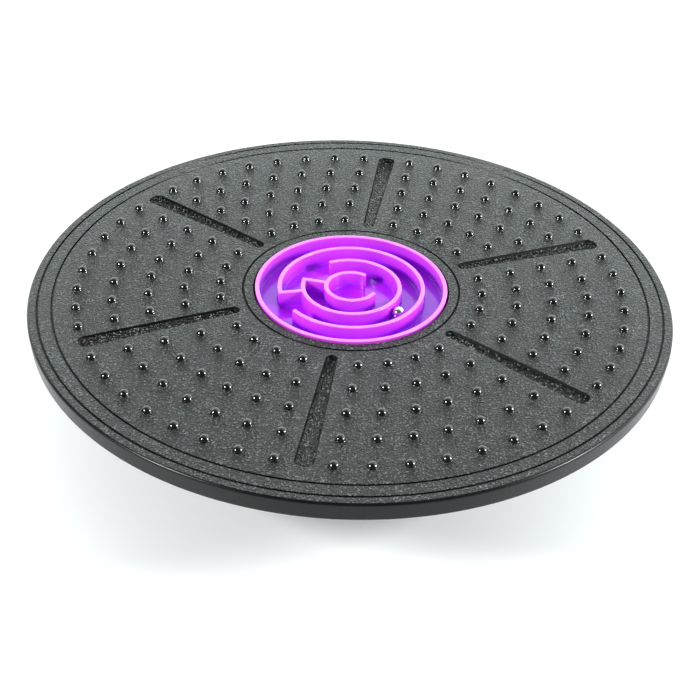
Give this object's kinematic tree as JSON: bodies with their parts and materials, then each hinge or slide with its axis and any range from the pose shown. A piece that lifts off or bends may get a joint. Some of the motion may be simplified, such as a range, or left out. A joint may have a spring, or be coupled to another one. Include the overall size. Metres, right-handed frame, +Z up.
{
  "type": "balance board",
  "caption": "Round board for balance training that rocks on a dome under its middle, with a nubbed non-slip deck and a ball maze set flush in the centre.",
  "frame": {"origin": "on the floor under the middle of the board, at the flat of the grip pad", "axes": "+Z up; +Y along one trough of the deck; +X completes the right-handed frame"},
  "size_m": [0.3999, 0.4, 0.088],
  "materials": {
    "deck_plastic": "leather-grained black moulding with glossy nubs and troughs",
    "maze_plastic": "glossy, slightly translucent vivid purple",
    "ball_steel": "polished bearing steel",
    "screw_steel": "zinc-plated",
    "dome_plastic": "fine satin black moulding",
    "pad_rubber": "soft matte black rubber"
  },
  "bodies": {
    "board": {"deck": "deck_plastic", "maze_tray": "maze_plastic", "tray_screws": "screw_steel", "dome_base": "dome_plastic", "dome_screws": "screw_steel", "grip_pad": "pad_rubber"},
    "ball": {"steel_ball": "ball_steel"}
  },
  "joints": [
    {"name": "ball_roll", "type": "hinge", "parent": "board", "child": "ball", "pos_m": [0, 0, 0.0804], "axis": [0, 0, 1], "range_deg": [-124.9, 216.9]}
  ]
}
